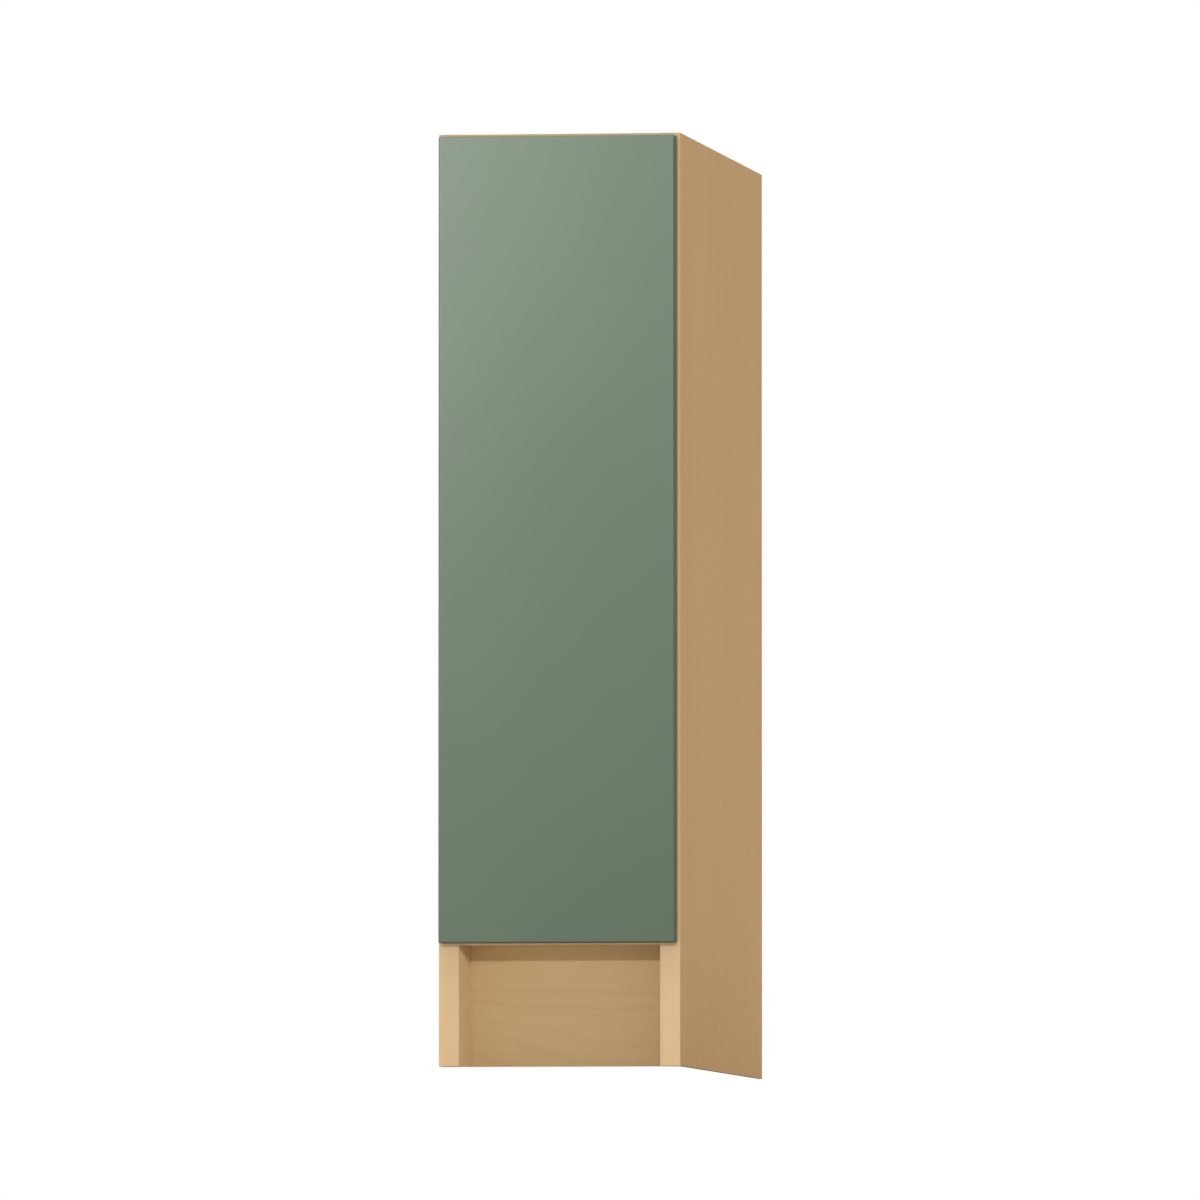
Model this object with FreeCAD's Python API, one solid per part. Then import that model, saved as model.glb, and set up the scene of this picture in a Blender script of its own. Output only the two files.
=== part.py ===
# Narrow frameless base cabinet whose full-height front pulls a wooden spice rack out on ball slides.
# Millimetres. The origin is on the floor under the middle of the closed cabinet.
# The front faces -Y, +X is to the right of someone facing it, and +Z is up.
import FreeCAD
import Part

import math
import os

Vector = FreeCAD.Vector

# Carcass
cabinet_width = 228.6
cabinet_height = 876.3
carcass_depth = 590.55
panel_thickness = 19.05
edge_band_thickness = 1.0
edge_band_ease = 0.5
toe_kick_height = 114.3
toe_kick_recess = 76.2
stretcher_depth = 100.0
nailer_height = 100.0
back_thickness = 6.35
back_groove_depth = 9.5
back_floor_groove = 6.0
back_groove_play = 0.15
worktop_hole_radius = 2.5
worktop_hole_spacing = 60.0
wall_hole_radius = 2.5
wall_hole_spacing = 60.0

# Knock-down joints between the carcass boards
cam_radius = 7.3
cam_pocket_radius = 7.5
cam_depth = 12.6
cam_pocket_depth = 13.0
cam_setback = 34.0
cam_tunnel_radius = 3.9
cam_slot_length = 9.0
cam_slot_width = 1.4
cam_slot_depth = 2.2
bolt_thread_radius = 2.4
bolt_thread_length = 11.0
bolt_shank_radius = 3.4
bolt_neck_radius = 2.0
bolt_neck_length = 6.0
bolt_head_radius = 3.2
bolt_head_length = 3.0
bolt_bore_radius = 4.0
dowel_radius = 4.0
dowel_in_panel = 12.0
dowel_in_board = 18.0
dowel_spacing = 32.0
bottom_joint_inset = 60.0
bore_play = 0.05
bore_end_play = 0.5

# Front
door_thickness = 19.05
door_side_reveal = 2.4
door_top_reveal = 3.2
door_bottom_reveal = 1.0
door_gap = 2.0
door_edge_radius = 1.5
bumper_radius = 4.5
bumper_round = 0.8
bumper_inset = 26.0
adjuster_radius = 12.5
adjuster_depth = 11.0
adjuster_spacing = 60.0
adjuster_above_tray = 45.0
adjuster_below_top = 70.0
adjuster_hole_radius = 3.2
adjuster_head_recess = 3.0
adjuster_head_play = 1.0

# Screws
screw_clearance = 0.1
recess_width = 1.0
recess_share = 0.62
adjuster_screw = {"head_radius": 4.5, "head_height": 2.6, "shank_radius": 2.0, "length": 19.0}
rail_screw = {"head_radius": 4.0, "head_height": 1.4, "shank_radius": 2.0, "length": 13.0}
rack_rail_screw = {"head_radius": 3.6, "head_height": 1.4, "shank_radius": 1.75, "length": 10.0}
rack_screw_head_radius = 4.0
rack_screw_shank_radius = 2.0
rack_screw_length = 40.0

# Ball slides, three rails each
slide_thickness = 12.7
slide_setback = 3.0
slide_rear_gap = 54.15
slide_end_overlap = 8.0
rail_height = 45.0
rail_sheet = 1.2
rail_bend = 1.4
rail_lip = 2.9
outer_tip_gap = 2.1
middle_tip_gap = 2.5
running_gap = 0.3
cage_sheet = 0.6
cage_tip_gap = 0.4
cage_end_gap = 9.0
cage_ball_count = 6
cage_end_margin = 12.0
pocket_play = 0.1
outer_ball_radius = 1.9
inner_ball_radius = 1.4
ball_clearance = 0.2
rail_screw_inset = 36.0
rail_slot_length = 12.0
rail_slot_width = 4.6
rail_slot_from_screw = 20.0

# Release levers on the inner rails
lever_from_front = 150.0
lever_thickness = 1.6
lever_side_gap = 0.8
lever_nose = 38.0
lever_tail = 24.0
lever_half_height = 3.4
lever_pad_length = 14.0
lever_pad_half_height = 5.4
lever_hook = 2.4
lever_round = 2.0
rivet_radius = 2.0
rivet_head_radius = 3.2
rivet_head_height = 0.5
rivet_play = 0.06

# Pull-out rack
rack_board = 12.7
rack_below = 10.0
rack_above = 12.0
rack_edge_round = 1.5
upright_corner_round = 14.0
level_count = 4
tray_side_height = 70.0
tray_side_round = 3.0
tray_floor_thickness = 9.0
tray_floor_raise = 8.0
tray_groove_depth = 5.0
tray_groove_play = 0.15
tray_screw_below_top = 17.0
tray_screw_above_floor = 10.0
shelf_side_gap = 3.0
shelf_end_gap = 2.0
shelf_edge_round = 2.0

# Shelf pins and their rows of holes
pin_hole_radius = 2.5
pin_hole_depth = 9.0
pin_row_pitch = 32.0
pin_row_count = 5
pin_side_inset = 30.0
pin_length = 8.5
pin_collar_radius = 4.5
pin_collar = 1.5
pin_reach = 8.0
pin_paddle_width = 7.0
pin_paddle_height = 3.0

# Chrome gallery rails on the loose shelves
wire_radius = 2.5
gallery_height = 38.0
gallery_bend = 12.0
gallery_end_inset = 22.0
gallery_side_inset = 8.0
gallery_socket_depth = 9.0
gallery_socket_play = 0.05
gallery_socket_floor = 0.2

# Places worked out from the sizes above
sides = {"left": -1, "right": 1}
half_width = cabinet_width / 2
inner_half = half_width - panel_thickness
overall_depth = door_thickness + door_gap + carcass_depth
door_front = -overall_depth / 2
door_back = door_front + door_thickness
carcass_front = door_back + door_gap
core_front = carcass_front + edge_band_thickness
carcass_back = overall_depth / 2
back_rear = carcass_back - panel_thickness
back_front = back_rear - back_thickness
bottom_top = toe_kick_height + panel_thickness
stretcher_bottom = cabinet_height - panel_thickness
toe_front = carcass_front + toe_kick_recess
toe_rear = toe_front + panel_thickness
base_rail_front = carcass_back - panel_thickness

slide_front = carcass_front + slide_setback
slide_rear = back_front - slide_rear_gap
slide_length = slide_rear - slide_front
slide_travel = slide_length - slide_end_overlap

rack_half = inner_half - slide_thickness
rack_bottom = bottom_top + rack_below
rack_top = stretcher_bottom - rack_above
rack_front = door_back
rack_rear = slide_rear
bay_front = rack_front + rack_board
bay_rear = rack_rear - rack_board
level_pitch = (rack_top - rack_bottom) / level_count
tray_bases = {"lower": rack_bottom, "upper": rack_bottom + 2 * level_pitch}
shelf_levels = {"middle": rack_bottom + level_pitch, "top": rack_bottom + 3 * level_pitch}
pin_x = rack_half - pin_side_inset

# Slide sections: u runs from the carcass side towards the rack
outer_half = rail_height / 2
outer_race = outer_half - rail_sheet
middle_half = outer_race - 2 * (outer_ball_radius + ball_clearance)
middle_race = middle_half - rail_sheet
inner_half_height = middle_race - 2 * (inner_ball_radius + ball_clearance)
outer_ball_z = (outer_race + middle_half) / 2
inner_ball_z = (middle_race + inner_half_height) / 2
outer_cage_u = rail_sheet + rail_screw["head_height"] + running_gap
middle_u = outer_cage_u + cage_sheet + running_gap
inner_cage_u = middle_u + rail_sheet + running_gap
inner_tip_u = inner_cage_u + cage_sheet + running_gap
inner_web_u = slide_thickness - rail_sheet
outer_tip_u = slide_thickness - outer_tip_gap
middle_tip_u = slide_thickness - middle_tip_gap
outer_cage_tip_u = outer_tip_u - rail_sheet - cage_tip_gap
inner_cage_tip_u = inner_web_u - rail_sheet
cage_length = slide_length - slide_travel / 2 - 2 * cage_end_gap


class Assembly:
    """Named pieces, and the holes that other pieces need in them."""

    def __init__(self):
        self.pieces = {}
        self.bores = {}

    def add(self, name, shape):
        """Adds a solid to a node, which may hold several."""
        self.pieces.setdefault(name, []).append(shape)

    def bore(self, name, tool):
        """Notes a shape to cut away from a node."""
        self.bores.setdefault(name, []).append(tool)

    def export(self, folder):
        """Cuts the bores and writes one STEP file for each node."""
        os.makedirs(folder, exist_ok=True)
        for name, shapes in self.pieces.items():
            tools = self.bores.get(name, [])
            solids = []
            for shape in shapes:
                cut = shape.cut(tools) if tools else shape
                solids.extend(cut.Solids)
            if len(solids) != len(shapes) or not all(s.isValid() for s in solids):
                raise ValueError(f"{name} came apart or isn't a valid solid")
            Part.makeCompound(solids).exportStep(f"{folder}/{name}.step")


def box(x0, x1, y0, y1, z0, z1):
    """Box between two corners, given in any order along X."""
    low, high = min(x0, x1), max(x0, x1)
    return Part.makeBox(high - low, y1 - y0, z1 - z0, Vector(low, y0, z0))


def rod(radius, start, direction, length):
    """Round bar from a start point."""
    return Part.makeCylinder(radius, length, start, direction)


def eased(shape, radius, wanted):
    """Rounds the straight edges for which wanted(first end, last end) is true."""
    edges = []
    for edge in shape.Edges:
        ends = [v.Point for v in edge.Vertexes]
        if len(ends) == 2 and wanted(*ends):
            edges.append(edge)
    return shape.makeFillet(radius, edges)


def along_x(a, b):
    """True for an edge that runs along X."""
    return abs(a.y - b.y) + abs(a.z - b.z) < 1e-6


def along_y(a, b):
    """True for an edge that runs along Y."""
    return abs(a.x - b.x) + abs(a.z - b.z) < 1e-6


def along_z(a, b):
    """True for an edge that runs along Z."""
    return abs(a.x - b.x) + abs(a.y - b.y) < 1e-6


def rounded_face(corners):
    """Flat face through corners of (point, radius), each turned with an arc of its radius."""
    arrivals, leaves, turns = [], [], []
    for i, (point, radius) in enumerate(corners):
        back = (corners[i - 1][0] - point).normalize()
        ahead = (corners[(i + 1) % len(corners)][0] - point).normalize()
        half = back.getAngle(ahead) / 2
        reach = radius / math.tan(half)
        arrivals.append(point + back * reach)
        leaves.append(point + ahead * reach)
        turns.append(point + (back + ahead).normalize() * (radius / math.sin(half) - radius))
    edges = []
    for i, (_, radius) in enumerate(corners):
        if radius > 0:
            edges.append(Part.Arc(arrivals[i], turns[i], leaves[i]).toShape())
        following = arrivals[(i + 1) % len(corners)]
        edges.append(Part.LineSegment(leaves[i], following).toShape())
    return Part.Face(Part.Wire(edges))


def placed(shape, point, direction):
    """Copy of a shape made along +Z from the origin, set at a point along a direction."""
    copy = shape.copy()
    copy.Placement = FreeCAD.Placement(point, FreeCAD.Rotation(Vector(0, 0, 1), direction))
    return copy


def cross_recess(head_radius, top, depth):
    """Cross-shaped driver recess sunk along +Z from a head's top."""
    length = 2 * recess_share * head_radius
    blades = []
    for x, y in ((length, recess_width), (recess_width, length)):
        blades.append(Part.makeBox(x, y, depth, Vector(-x / 2, -y / 2, top)))
    return blades


def pan_screw(head_radius, head_height, shank_radius, length):
    """Low-headed screw along +Z, with its head's seat at the origin."""
    head = rod(head_radius, Vector(0, 0, -head_height), Vector(0, 0, 1), head_height)
    top_rim = [e for e in head.Edges if e.BoundBox.ZMax < -head_height / 2]
    head = head.makeFillet(head_height / 3, top_rim)
    shank = rod(shank_radius, Vector(0, 0, 0), Vector(0, 0, 1), length)
    screw = head.fuse(shank).removeSplitter()
    return screw.cut(cross_recess(head_radius, -head_height, head_height * recess_share))


def screw_hole(shank_radius, length):
    """Hole along +Z for a screw's shank."""
    return rod(shank_radius + screw_clearance, Vector(0, 0, 0), Vector(0, 0, 1), length + bore_end_play)


def countersunk_screw():
    """Flat-headed wood screw along +Z, with its head flush at the origin."""
    cone = rack_screw_head_radius - rack_screw_shank_radius
    head = Part.makeCone(rack_screw_head_radius, rack_screw_shank_radius, cone)
    shank = rod(rack_screw_shank_radius, Vector(0, 0, 0), Vector(0, 0, 1), rack_screw_length)
    screw = head.fuse(shank).removeSplitter()
    return screw.cut(cross_recess(rack_screw_head_radius, 0, cone * recess_share))


def countersunk_hole():
    """Hole along +Z for a flat-headed wood screw."""
    mouth = rack_screw_head_radius + screw_clearance
    waist = rack_screw_shank_radius + screw_clearance
    cone = Part.makeCone(mouth, waist, mouth - waist)
    return cone.fuse(screw_hole(rack_screw_shank_radius, rack_screw_length))


def carcass_panels(cabinet):
    """Sides, bottom, stretchers, back, nailer and the boards of the base."""
    groove_front = back_front - back_groove_play
    groove_rear = back_rear + back_groove_play
    groove_floor = bottom_top - back_floor_groove
    for name, side in sides.items():
        inside, outside = side * inner_half, side * half_width
        panel = f"{name}_side_panel"
        cabinet.add(panel, box(inside, outside, core_front, carcass_back, 0, cabinet_height))
        groove_end = side * (inner_half + back_groove_depth)
        cabinet.bore(panel, box(inside, groove_end, groove_front, groove_rear, groove_floor, cabinet_height))
    across = (-inner_half, inner_half)
    cabinet.add("bottom_panel", box(*across, core_front, carcass_back, toe_kick_height, bottom_top))
    cabinet.bore("bottom_panel", box(*across, groove_front, groove_rear, groove_floor, bottom_top))
    stretcher_rear = core_front + stretcher_depth
    cabinet.add("front_stretcher", box(*across, core_front, stretcher_rear, stretcher_bottom, cabinet_height))
    rear_start = back_front - stretcher_depth
    cabinet.add("rear_stretcher", box(*across, rear_start, back_front, stretcher_bottom, cabinet_height))
    nailer_bottom = cabinet_height - nailer_height
    cabinet.add("wall_nailer", box(*across, back_rear, carcass_back, nailer_bottom, cabinet_height))
    reach = inner_half + back_groove_depth - bore_end_play
    back_bottom = groove_floor + bore_end_play
    cabinet.add("back_panel", box(-reach, reach, back_front, back_rear, back_bottom, cabinet_height))
    cabinet.add("toe_kick_board", box(*across, toe_front, toe_rear, 0, toe_kick_height))
    cabinet.add("rear_base_rail", box(*across, base_rail_front, carcass_back, 0, toe_kick_height))


def edge_bands(cabinet):
    """Thin strips that cover the front edges of the boards."""
    def band(x0, x1, z0, z1, runs):
        strip = box(x0, x1, carcass_front, core_front, z0, z1)
        return eased(strip, edge_band_ease, lambda a, b: runs(a, b) and a.y < core_front - edge_band_ease)

    for name, side in sides.items():
        strip = band(side * inner_half, side * half_width, 0, cabinet_height, along_z)
        cabinet.add(f"{name}_edge_band", strip)
    cabinet.add("bottom_edge_band", band(-inner_half, inner_half, toe_kick_height, bottom_top, along_x))
    stretcher_strip = band(-inner_half, inner_half, stretcher_bottom, cabinet_height, along_x)
    cabinet.add("stretcher_edge_band", stretcher_strip)


def cam_bolt():
    """Bolt along +Z: thread below the origin, shank, neck and head above it."""
    up = Vector(0, 0, 1)
    shank_length = cam_setback - bolt_neck_length
    thread = rod(bolt_thread_radius, Vector(0, 0, -bolt_thread_length), up, bolt_thread_length)
    shank = rod(bolt_shank_radius, Vector(0, 0, 0), up, shank_length)
    neck = rod(bolt_neck_radius, Vector(0, 0, shank_length), up, bolt_neck_length)
    head_start = cam_setback - bolt_head_length / 2
    head = rod(bolt_head_radius, Vector(0, 0, head_start), up, bolt_head_length)
    return thread.fuse([shank, neck, head]).removeSplitter()


def cam_lock(board_half, tunnel):
    """Cam disc along +Z from a board's face at the origin, with a tunnel that takes its bolt's head."""
    disc = rod(cam_radius, Vector(0, 0, 0), Vector(0, 0, 1), cam_depth)
    past_head = tunnel * -bolt_head_length
    tools = [rod(cam_tunnel_radius, past_head + Vector(0, 0, board_half), tunnel, 2 * cam_radius)]
    for x, y in ((cam_slot_length, cam_slot_width), (cam_slot_width, cam_slot_length)):
        tools.append(Part.makeBox(x, y, cam_slot_depth, Vector(-x / 2, -y / 2, 0)))
    return disc.cut(tools)


def end_joint(cabinet, board, y, z, row, bore_way):
    """Joins both ends of a board to the side panels with a cam lock and two dowels along a row.
    The point (y, z) is the middle of the board's end, and bore_way runs from its face into a cam's pocket."""
    for name, side in sides.items():
        panel = f"{name}_side_panel"
        outward = Vector(side, 0, 0)
        joint = Vector(side * inner_half, y, z)
        cam_axis = joint - outward * cam_setback
        board_half = panel_thickness / 2
        face = cam_axis - bore_way * board_half
        cabinet.add("cam_bolts", placed(cam_bolt(), joint, -outward))
        turn = FreeCAD.Rotation(Vector(0, 0, 1), bore_way)
        tunnel = turn.inverted().multVec(outward)
        cabinet.add("cam_locks", placed(cam_lock(board_half, tunnel), face, bore_way))
        thread_hole = bolt_thread_radius + screw_clearance
        cabinet.bore(panel, rod(thread_hole, joint, outward, bolt_thread_length + bore_end_play))
        cabinet.bore(board, rod(bolt_bore_radius, cam_axis, outward, cam_setback))
        cabinet.bore(board, rod(cam_pocket_radius, face, bore_way, cam_pocket_depth))
        for step in (-dowel_spacing, dowel_spacing):
            start = joint + row * step - outward * dowel_in_board
            cabinet.add("carcass_dowels", rod(dowel_radius, start, outward, dowel_in_board + dowel_in_panel))
            bore_start = start - outward * bore_end_play
            bore_length = dowel_in_board + dowel_in_panel + 2 * bore_end_play
            for piece in (panel, board):
                cabinet.bore(piece, rod(dowel_radius + bore_play, bore_start, outward, bore_length))


def carcass_joints(cabinet):
    """Cam locks and dowels at the ends of every board between the side panels."""
    up, rear, front = Vector(0, 0, 1), Vector(0, 1, 0), Vector(0, -1, 0)
    bottom_z = toe_kick_height + panel_thickness / 2
    for y in (toe_rear + bottom_joint_inset, base_rail_front - bottom_joint_inset):
        end_joint(cabinet, "bottom_panel", y, bottom_z, rear, up)
    stretcher_z = stretcher_bottom + panel_thickness / 2
    end_joint(cabinet, "front_stretcher", core_front + stretcher_depth / 2, stretcher_z, rear, up)
    end_joint(cabinet, "rear_stretcher", back_front - stretcher_depth / 2, stretcher_z, rear, up)
    nailer_y = carcass_back - panel_thickness / 2
    end_joint(cabinet, "wall_nailer", nailer_y, cabinet_height - nailer_height / 2, up, front)
    base_z = toe_kick_height / 2
    end_joint(cabinet, "toe_kick_board", toe_front + panel_thickness / 2, base_z, up, front)
    end_joint(cabinet, "rear_base_rail", base_rail_front + panel_thickness / 2, base_z, up, rear)


def fixing_holes(cabinet):
    """Holes for screws up into a worktop and back into a wall."""
    for x in (-worktop_hole_spacing / 2, worktop_hole_spacing / 2):
        for stretcher, y in (
            ("front_stretcher", core_front + stretcher_depth / 2),
            ("rear_stretcher", back_front - stretcher_depth / 2),
        ):
            start = Vector(x, y, stretcher_bottom)
            cabinet.bore(stretcher, rod(worktop_hole_radius, start, Vector(0, 0, 1), panel_thickness))
    for x in (-wall_hole_spacing / 2, wall_hole_spacing / 2):
        start = Vector(x, back_front, cabinet_height - nailer_height / 2)
        hole = rod(wall_hole_radius, start, Vector(0, 1, 0), back_thickness + panel_thickness)
        cabinet.bore("back_panel", hole)
        cabinet.bore("wall_nailer", hole)


def slide_solid(side, z, section, y0, y1):
    """Extrudes a section of (u, height, radius) corners along Y on one side of the rack."""
    corners = []
    for u, height, radius in section:
        corners.append((Vector(side * (inner_half - u), y0, z + height), radius))
    return rounded_face(corners).extrude(Vector(0, y1 - y0, 0))


def channel(web, tip, half_height, sheet, bend):
    """Corners of a C-section whose web is at one u and whose flanges reach to another."""
    inside = web + math.copysign(sheet, tip - web)
    inner_bend = bend / 2
    lower = [(web, -half_height, bend), (tip, -half_height, 0), (tip, sheet - half_height, 0)]
    lower.append((inside, sheet - half_height, inner_bend))
    upper = [(u, -height, radius) for u, height, radius in reversed(lower)]
    return lower + upper


def lipped_channel():
    """Corners of the outer rail's C-section, whose flanges turn in at their tips."""
    inside, lip_u = rail_sheet, outer_tip_u - rail_sheet
    lower = [(0, -outer_half, rail_bend), (outer_tip_u, -outer_half, rail_bend)]
    lower += [(outer_tip_u, rail_lip - outer_race, 0), (lip_u, rail_lip - outer_race, 0)]
    lower += [(lip_u, -outer_race, 0), (inside, -outer_race, rail_bend / 2)]
    upper = [(u, -height, radius) for u, height, radius in reversed(lower)]
    return lower + upper


def ball_cage(cabinet, node, side, z, web, tip, ball_z, ball_radius):
    """Sheet cage that spaces two rows of balls between two rails."""
    y0 = (slide_front + slide_rear - cage_length) / 2
    section = channel(web, tip, ball_z + cage_sheet / 2, cage_sheet, cage_sheet)
    cage = slide_solid(side, z, section, y0, y0 + cage_length)
    ball_u = (web + tip) / 2
    pitch = (cage_length - 2 * cage_end_margin) / (cage_ball_count - 1)
    pockets, balls = [], []
    for row in (-1, 1):
        for i in range(cage_ball_count):
            y = y0 + cage_end_margin + i * pitch
            centre = Vector(side * (inner_half - ball_u), y, z + row * ball_z)
            pocket_start = centre - Vector(0, 0, ball_radius)
            pockets.append(rod(ball_radius + pocket_play, pocket_start, Vector(0, 0, 1), 2 * ball_radius))
            balls.append(Part.makeSphere(ball_radius, centre))
    cabinet.add(node, cage.cut(pockets))
    for ball in balls:
        cabinet.add(node, ball)


def release_lever(cabinet, node, side, z):
    """Lever on a rivet, with a finger pad in front and a hook behind.
    The rivet is returned, because it is part of the inner rail."""
    y = slide_front + lever_from_front
    inward = Vector(side, 0, 0)
    lever_u = inner_web_u - lever_side_gap
    far_u = lever_u - lever_thickness
    shaft_start = Vector(side * (inner_half - inner_web_u), y, z)
    shaft_length = inner_web_u - far_u + rivet_play
    shaft = rod(rivet_radius, shaft_start, inward, shaft_length)
    head = rod(rivet_head_radius, shaft_start + inward * shaft_length, inward, rivet_head_height)
    pad_rear = lever_pad_length - lever_nose
    outline = [
        (-lever_nose, -lever_pad_half_height, lever_round),
        (pad_rear, -lever_pad_half_height, lever_round),
        (pad_rear + lever_pad_half_height, -lever_half_height, lever_round),
        (lever_tail, -lever_half_height, lever_round),
        (lever_tail, lever_half_height + lever_hook, lever_round / 2),
        (lever_tail - lever_half_height, lever_half_height + lever_hook, lever_round / 2),
        (lever_tail - 2 * lever_half_height, lever_half_height, lever_round),
        (-lever_nose, lever_half_height, lever_round),
    ]
    x = side * (inner_half - lever_u)
    corners = [(Vector(x, y + dy, z + dz), radius) for dy, dz, radius in outline]
    lever = rounded_face(corners).extrude(inward * lever_thickness)
    bore_start = Vector(x, y, z) - inward * lever_thickness
    bore = rod(rivet_radius + rivet_play, bore_start, inward, 3 * lever_thickness)
    cabinet.add(node, lever.cut(bore))
    return shaft.fuse(head)


def rail_slots(cabinet, node, side, web_u, z, stations):
    """Stamped slots through a rail's web, on both sides of each station along it."""
    half_run = (rail_slot_length - rail_slot_width) / 2
    start_u, end_u = web_u - rail_sheet / 2, web_u + 3 * rail_sheet / 2
    x0, x1 = side * (inner_half - start_u), side * (inner_half - end_u)
    for station in stations:
        for y in (station - rail_slot_from_screw, station + rail_slot_from_screw):
            ends = []
            for end in (y - half_run, y + half_run):
                ends.append(rod(rail_slot_width / 2, Vector(x0, end, z), Vector(x1 - x0, 0, 0), abs(x1 - x0)))
            run = box(x0, x1, y - half_run, y + half_run, z - rail_slot_width / 2, z + rail_slot_width / 2)
            cabinet.bore(node, run.fuse(ends).removeSplitter())


def screw_rail(cabinet, screws, rail_node, board_node, points, direction, sizes):
    """Fastens a rail to a board behind it with a row of low-headed screws."""
    for point in points:
        cabinet.add(screws, placed(pan_screw(**sizes), point, direction))
        hole = placed(screw_hole(sizes["shank_radius"], sizes["length"]), point, direction)
        cabinet.bore(rail_node, hole)
        cabinet.bore(board_node, hole)


def slide(cabinet, level, z, name, side):
    """One ball slide: three rails, two ball cages, a release lever and the screws."""
    prefix = f"{level}_{name}"
    outer, middle, inner = (f"{prefix}_{rail}_rail" for rail in ("outer", "middle", "inner"))
    cabinet.add(outer, slide_solid(side, z, lipped_channel(), slide_front, slide_rear))
    middle_section = channel(middle_u, middle_tip_u, middle_half, rail_sheet, rail_bend)
    cabinet.add(middle, slide_solid(side, z, middle_section, slide_front, slide_rear))
    inner_section = channel(slide_thickness, inner_tip_u, inner_half_height, rail_sheet, rail_bend)
    inner_rail = slide_solid(side, z, inner_section, slide_front, slide_rear)
    rivet = release_lever(cabinet, f"{prefix}_release_lever", side, z)
    cabinet.add(inner, inner_rail.fuse(rivet).removeSplitter())
    outer_cage = f"{prefix}_outer_ball_cage"
    ball_cage(cabinet, outer_cage, side, z, outer_cage_u, outer_cage_tip_u, outer_ball_z, outer_ball_radius)
    inner_cage = f"{prefix}_inner_ball_cage"
    ball_cage(cabinet, inner_cage, side, z, inner_cage_u, inner_cage_tip_u, inner_ball_z, inner_ball_radius)
    stations = [slide_front + rail_screw_inset, (slide_front + slide_rear) / 2, slide_rear - rail_screw_inset]
    outer_x = side * (inner_half - rail_sheet)
    outer_points = [Vector(outer_x, y, z) for y in stations]
    panel = f"{name}_side_panel"
    screw_rail(cabinet, "rail_screws", outer, panel, outer_points, Vector(side, 0, 0), rail_screw)
    for rail, web_u in ((outer, 0), (middle, middle_u), (inner, inner_web_u)):
        rail_slots(cabinet, rail, side, web_u, z, stations)
    inner_x = side * (inner_half - inner_web_u)
    inner_points = [Vector(inner_x, y, z) for y in stations]
    tray_side = f"{level}_tray_{name}_side"
    inward = Vector(-side, 0, 0)
    screw_rail(cabinet, "rack_rail_screws", inner, tray_side, inner_points, inward, rack_rail_screw)


def slides(cabinet):
    """A pair of slides beside each tray of the rack."""
    for level, base in tray_bases.items():
        for name, side in sides.items():
            slide(cabinet, level, base + tray_side_height / 2, name, side)


def door(cabinet):
    """Slab front with eased edges, and soft bumpers on its back."""
    half = half_width - door_side_reveal
    low, high = toe_kick_height + door_bottom_reveal, cabinet_height - door_top_reveal
    slab = box(-half, half, door_front, door_back, low, high)
    cabinet.add("door", slab.makeFillet(door_edge_radius, slab.Edges))
    bumper_x = half_width - panel_thickness / 2
    for x in (-bumper_x, bumper_x):
        for z in (low + bumper_inset, high - bumper_inset):
            disc = rod(bumper_radius, Vector(x, door_back, z), Vector(0, 1, 0), door_gap)
            rim = [e for e in disc.Edges if e.BoundBox.YMin > door_back + door_gap / 2]
            cabinet.add("door_bumpers", disc.makeFillet(bumper_round, rim))


def door_fixings(cabinet):
    """Adjusters let into the back of the door, and the sunk screws that hold the rack to them."""
    heights = (rack_bottom + tray_side_height + adjuster_above_tray, rack_top - adjuster_below_top)
    rear, front = Vector(0, 1, 0), Vector(0, -1, 0)
    for x in (-adjuster_spacing / 2, adjuster_spacing / 2):
        for z in heights:
            seat = Vector(x, door_back, z)
            body = rod(adjuster_radius, seat, front, adjuster_depth)
            screw_seat = Vector(x, bay_front - adjuster_head_recess, z)
            hole = screw_hole(adjuster_screw["shank_radius"], adjuster_screw["length"])
            shank = placed(hole, screw_seat, front)
            cabinet.add("front_adjusters", body.cut(shank))
            bore_depth = adjuster_depth + bore_end_play
            cabinet.bore("door", rod(adjuster_radius + bore_play, seat, front, bore_depth))
            cabinet.add("adjuster_screws", placed(pan_screw(**adjuster_screw), screw_seat, front))
            cabinet.bore("rack_front_upright", rod(adjuster_hole_radius, seat, rear, rack_board))
            recess_radius = adjuster_screw["head_radius"] + adjuster_head_play
            cabinet.bore("rack_front_upright", rod(recess_radius, screw_seat, rear, adjuster_head_recess))


def uprights(cabinet):
    """Front and rear boards of the rack, with their rows of shelf-pin holes."""
    faces = {
        "rack_front_upright": (rack_front, bay_front, Vector(0, -1, 0), bay_front),
        "rack_rear_upright": (bay_rear, rack_rear, Vector(0, 1, 0), bay_rear),
    }
    for node, (y0, y1, way, hole_face) in faces.items():
        board = box(-rack_half, rack_half, y0, y1, rack_bottom, rack_top)
        middle = (rack_bottom + rack_top) / 2
        board = eased(board, upright_corner_round, lambda a, b: along_y(a, b) and a.z > middle)
        board = eased(board, rack_edge_round, lambda a, b: along_z(a, b))
        cabinet.add(node, board)
        for level in shelf_levels.values():
            for x in (-pin_x, pin_x):
                for row in range(pin_row_count):
                    z = pin_axis(level) + (row - pin_row_count // 2) * pin_row_pitch
                    cabinet.bore(node, rod(pin_hole_radius, Vector(x, hole_face, z), way, pin_hole_depth))


def pin_axis(level):
    """Height of the pins whose flat tops carry a shelf at a level."""
    return level - pin_paddle_height / 2


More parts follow.
